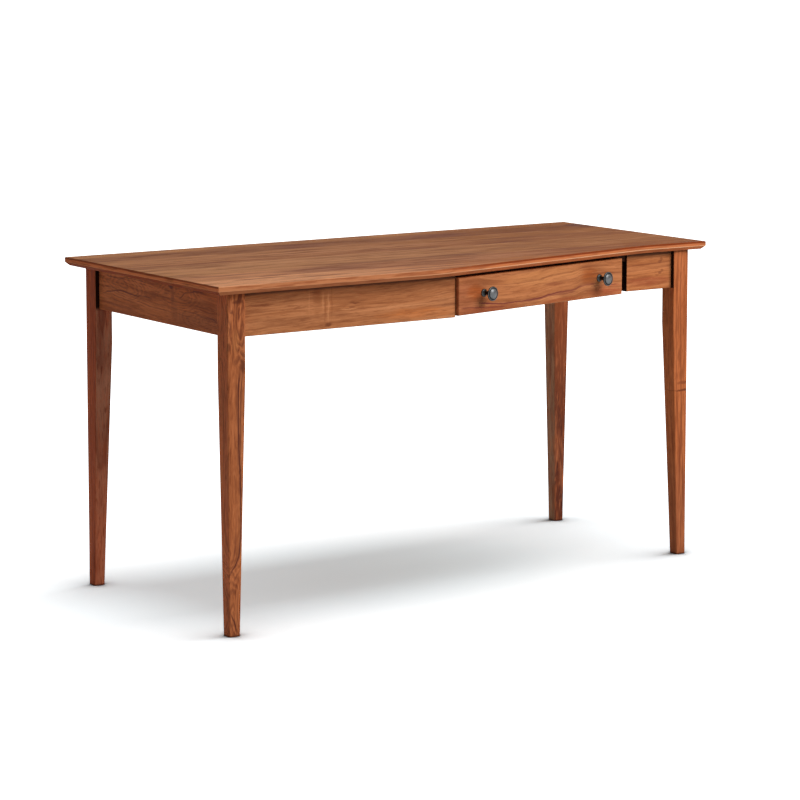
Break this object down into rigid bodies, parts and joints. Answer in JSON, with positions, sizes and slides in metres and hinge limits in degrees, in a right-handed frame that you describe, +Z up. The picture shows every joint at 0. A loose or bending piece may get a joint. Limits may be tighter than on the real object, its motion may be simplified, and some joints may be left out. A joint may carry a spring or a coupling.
{
  "type": "writing desk with one drawer",
  "caption": "Hardwood writing desk with a bowed front edge, inner-tapered legs, tenoned aprons and a drawer with metal knobs that slides out.",
  "frame": {"origin": "on the floor, under the middle of the length and of the depth of the top", "axes": "+X along the length of the top, towards the right end as seen by the person who sits at it; +Y from the drawer towards the back; +Z up"},
  "size_m": [1.432, 0.686, 0.762],
  "materials": {
    "board_pale": "satin",
    "board_dark": "satin",
    "board_mid": "satin",
    "leg_wood": "satin",
    "front_wood": "satin",
    "inner_wood": "plain sanded",
    "pewter": "dark rubbed",
    "screw_steel": "zinc plated"
  },
  "bodies": {
    "desk": {"top_board_1": "board_pale", "top_board_2": "board_dark", "top_board_3": "board_mid", "top_board_4": "board_dark", "top_board_5": "board_mid", "top_board_6": "board_dark", "top_board_7": "board_dark", "top_board_8": "board_mid", "leg_front_left": "leg_wood", "leg_front_right": "leg_wood", "leg_back_left": "leg_wood", "leg_back_right": "leg_wood", "apron_left": "front_wood", "apron_right": "front_wood", "apron_back": "front_wood", "apron_front_left": "front_wood", "apron_front_right": "front_wood", "bay_rail_left": "inner_wood", "bay_rail_right": "inner_wood", "drawer_top_rail": "inner_wood", "bay_rail_screws": "screw_steel", "drawer_runner_left": "inner_wood", "drawer_runner_right": "inner_wood", "runner_screws": "screw_steel", "top_buttons": "inner_wood", "top_button_screws": "screw_steel"},
    "drawer": {"drawer_front": "front_wood", "drawer_side_left": "inner_wood", "drawer_side_right": "inner_wood", "drawer_back": "inner_wood", "drawer_bottom": "inner_wood", "drawer_bottom_screws": "screw_steel", "knob_left": "pewter", "knob_right": "pewter", "knob_screws": "screw_steel"}
  },
  "joints": [
    {"name": "drawer_slide", "type": "slide", "parent": "desk", "child": "drawer", "axis": [0, -1, 0], "range_m": [0, 0.33]}
  ]
}
